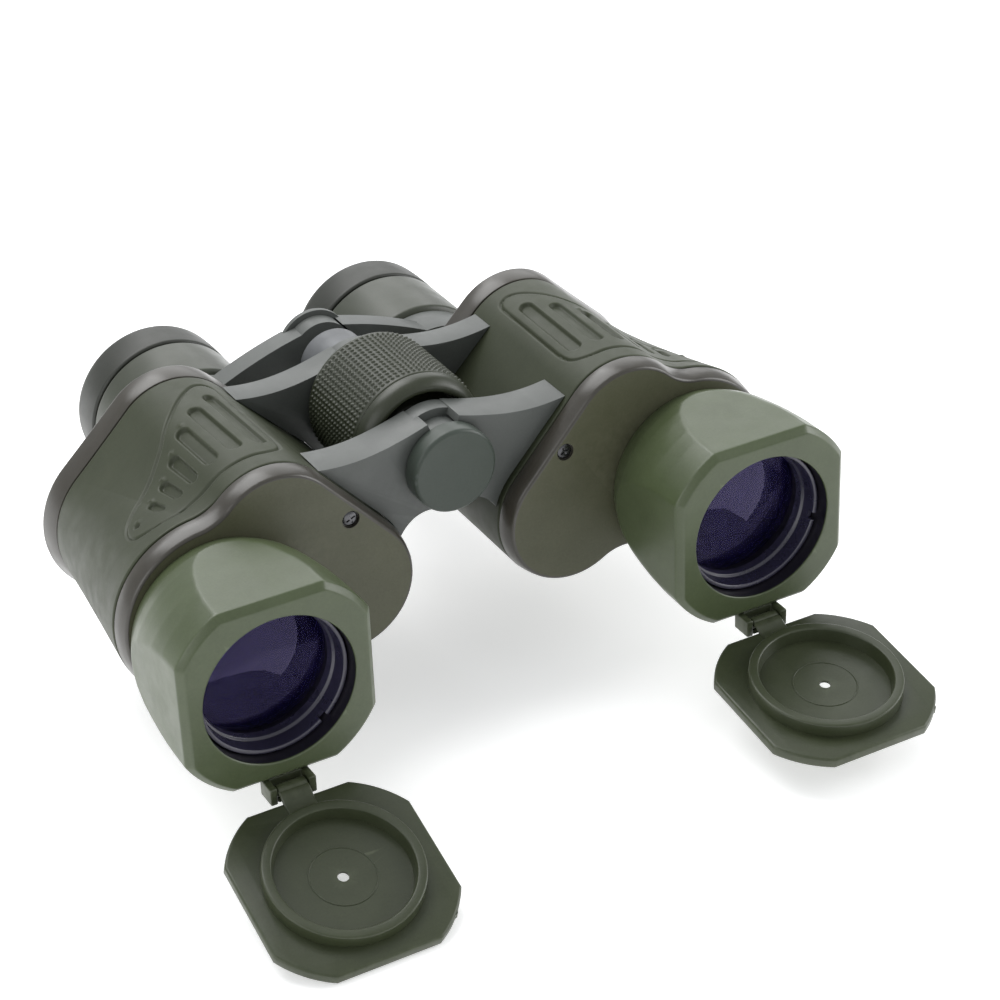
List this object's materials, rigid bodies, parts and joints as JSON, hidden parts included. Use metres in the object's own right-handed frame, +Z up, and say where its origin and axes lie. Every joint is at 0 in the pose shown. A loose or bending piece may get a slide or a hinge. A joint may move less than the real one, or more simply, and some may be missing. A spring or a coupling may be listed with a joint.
{
  "type": "porro prism binoculars",
  "caption": "Rubber-armoured Porro-prism binoculars with square-cornered hoods, hinged lens covers, central focus wheel and a folding centre hinge.",
  "frame": {"origin": "bottom centre of the bounding box, with the lens covers hanging open as they are at rest", "axes": "+X to the user's left, +Y from the objectives towards the eyepieces, +Z up"},
  "size_m": [0.1948, 0.2232, 0.0894],
  "materials": {
    "rubber_green": "moulded armour skin, satin",
    "hood_green": "fine matt moulded texture",
    "cover_plastic": "fine matt moulded texture",
    "arm_paint": "satin stove enamel",
    "eyecup_rubber": "smooth matt",
    "lens_cover": "flexible plastic, satin",
    "black_metal": "flat black",
    "alloy": "machined, satin",
    "steel": "turned",
    "brass": "turned",
    "lens_glass": "polished, blue-purple coating",
    "prism_glass": "polished prism glass"
  },
  "bodies": {
    "left_barrel": {"left_rubber_armour": "rubber_green", "left_prism_housing": "alloy", "left_front_plate": "cover_plastic", "left_rear_plate": "cover_plastic", "left_plate_screw": "steel", "left_rear_prism": "prism_glass", "left_front_prism": "prism_glass", "left_prism_shelf": "alloy", "left_objective_hood": "hood_green", "left_lens_cell": "black_metal", "left_retaining_ring": "black_metal", "left_objective_front_lens": "lens_glass", "left_objective_rear_lens": "lens_glass", "left_cover_bracket": "lens_cover", "left_front_hinge_arm": "arm_paint", "left_rear_hinge_arm": "arm_paint", "hinge_axle": "steel", "tripod_socket": "brass", "rear_collar": "alloy", "front_washer": "brass"},
    "right_barrel": {"right_rubber_armour": "rubber_green", "right_prism_housing": "alloy", "right_front_plate": "cover_plastic", "right_rear_plate": "cover_plastic", "right_plate_screw": "steel", "right_rear_prism": "prism_glass", "right_front_prism": "prism_glass", "right_prism_shelf": "alloy", "right_objective_hood": "hood_green", "right_lens_cell": "black_metal", "right_retaining_ring": "black_metal", "right_objective_front_lens": "lens_glass", "right_objective_rear_lens": "lens_glass", "right_cover_bracket": "lens_cover", "right_front_hinge_arm": "arm_paint", "right_rear_hinge_arm": "arm_paint"},
    "focus_wheel": {"focus_wheel_core": "cover_plastic", "focus_wheel_grip": "rubber_green"},
    "left_bridge": {"left_ocular_bridge": "arm_paint", "left_ocular_tube": "alloy", "left_lens_sleeve": "black_metal", "left_field_lens": "lens_glass", "left_eye_lens": "lens_glass", "left_eyepiece_barrel": "cover_plastic", "left_eyecup": "eyecup_rubber", "focus_spindle": "steel", "bridge_end_cap": "black_metal"},
    "right_bridge": {"right_ocular_bridge": "arm_paint", "right_ocular_tube": "alloy"},
    "right_ocular": {"right_lens_sleeve": "black_metal", "right_field_lens": "lens_glass", "right_eye_lens": "lens_glass"},
    "diopter_ring": {"right_diopter_ring": "cover_plastic", "right_eyecup": "eyecup_rubber"},
    "left_cover": {"left_lens_cover": "lens_cover"},
    "right_cover": {"right_lens_cover": "lens_cover"},
    "tripod_cap": {"tripod_cap": "arm_paint"}
  },
  "joints": [
    {"name": "pupil_spacing_hinge", "type": "hinge", "parent": "left_barrel", "child": "right_barrel", "pos_m": [0, 0.00388, 0.07015], "axis": [0, 1, 0], "range_deg": [-31, 5]},
    {"name": "focus_turn", "type": "hinge", "parent": "left_barrel", "child": "focus_wheel", "pos_m": [0, 0.01588, 0.07015], "axis": [0, 1, 0], "range_deg": [-151, 151]},
    {"name": "left_focus_travel", "type": "slide", "parent": "left_barrel", "child": "left_bridge", "axis": [0, 1, 0], "range_m": [-0.00501, 0.00501]},
    {"name": "right_focus_travel", "type": "slide", "parent": "right_barrel", "child": "right_bridge", "axis": [0, 1, 0], "range_m": [-0.00501, 0.00501]},
    {"name": "diopter_travel", "type": "slide", "parent": "right_bridge", "child": "right_ocular", "axis": [0, 1, 0], "range_m": [-0.0003, 0.0037]},
    {"name": "diopter_turn", "type": "hinge", "parent": "right_ocular", "child": "diopter_ring", "pos_m": [-0.0359, 0.07888, 0.04575], "axis": [0, 1, 0], "range_deg": [-9.5, 111.5]},
    {"name": "left_cover_hinge", "type": "hinge", "parent": "left_barrel", "child": "left_cover", "pos_m": [0.0709, -0.05712, 0.01985], "axis": [1, 0, 0], "range_deg": [-98, 52]},
    {"name": "right_cover_hinge", "type": "hinge", "parent": "right_barrel", "child": "right_cover", "pos_m": [-0.0709, -0.05712, 0.01985], "axis": [1, 0, 0], "range_deg": [-109, 41]},
    {"name": "tripod_cap_off", "type": "slide", "parent": "left_barrel", "child": "tripod_cap", "axis": [0, -1, 0], "range_m": [0, 0.014]}
  ],
  "couplings": [
    {"joint": "focus_turn", "follows": "left_focus_travel", "rad_per_m": 523.6},
    {"joint": "right_focus_travel", "follows": "left_focus_travel", "ratio": 1},
    {"joint": "diopter_turn", "follows": "diopter_travel", "rad_per_m": 523.6}
  ]
}
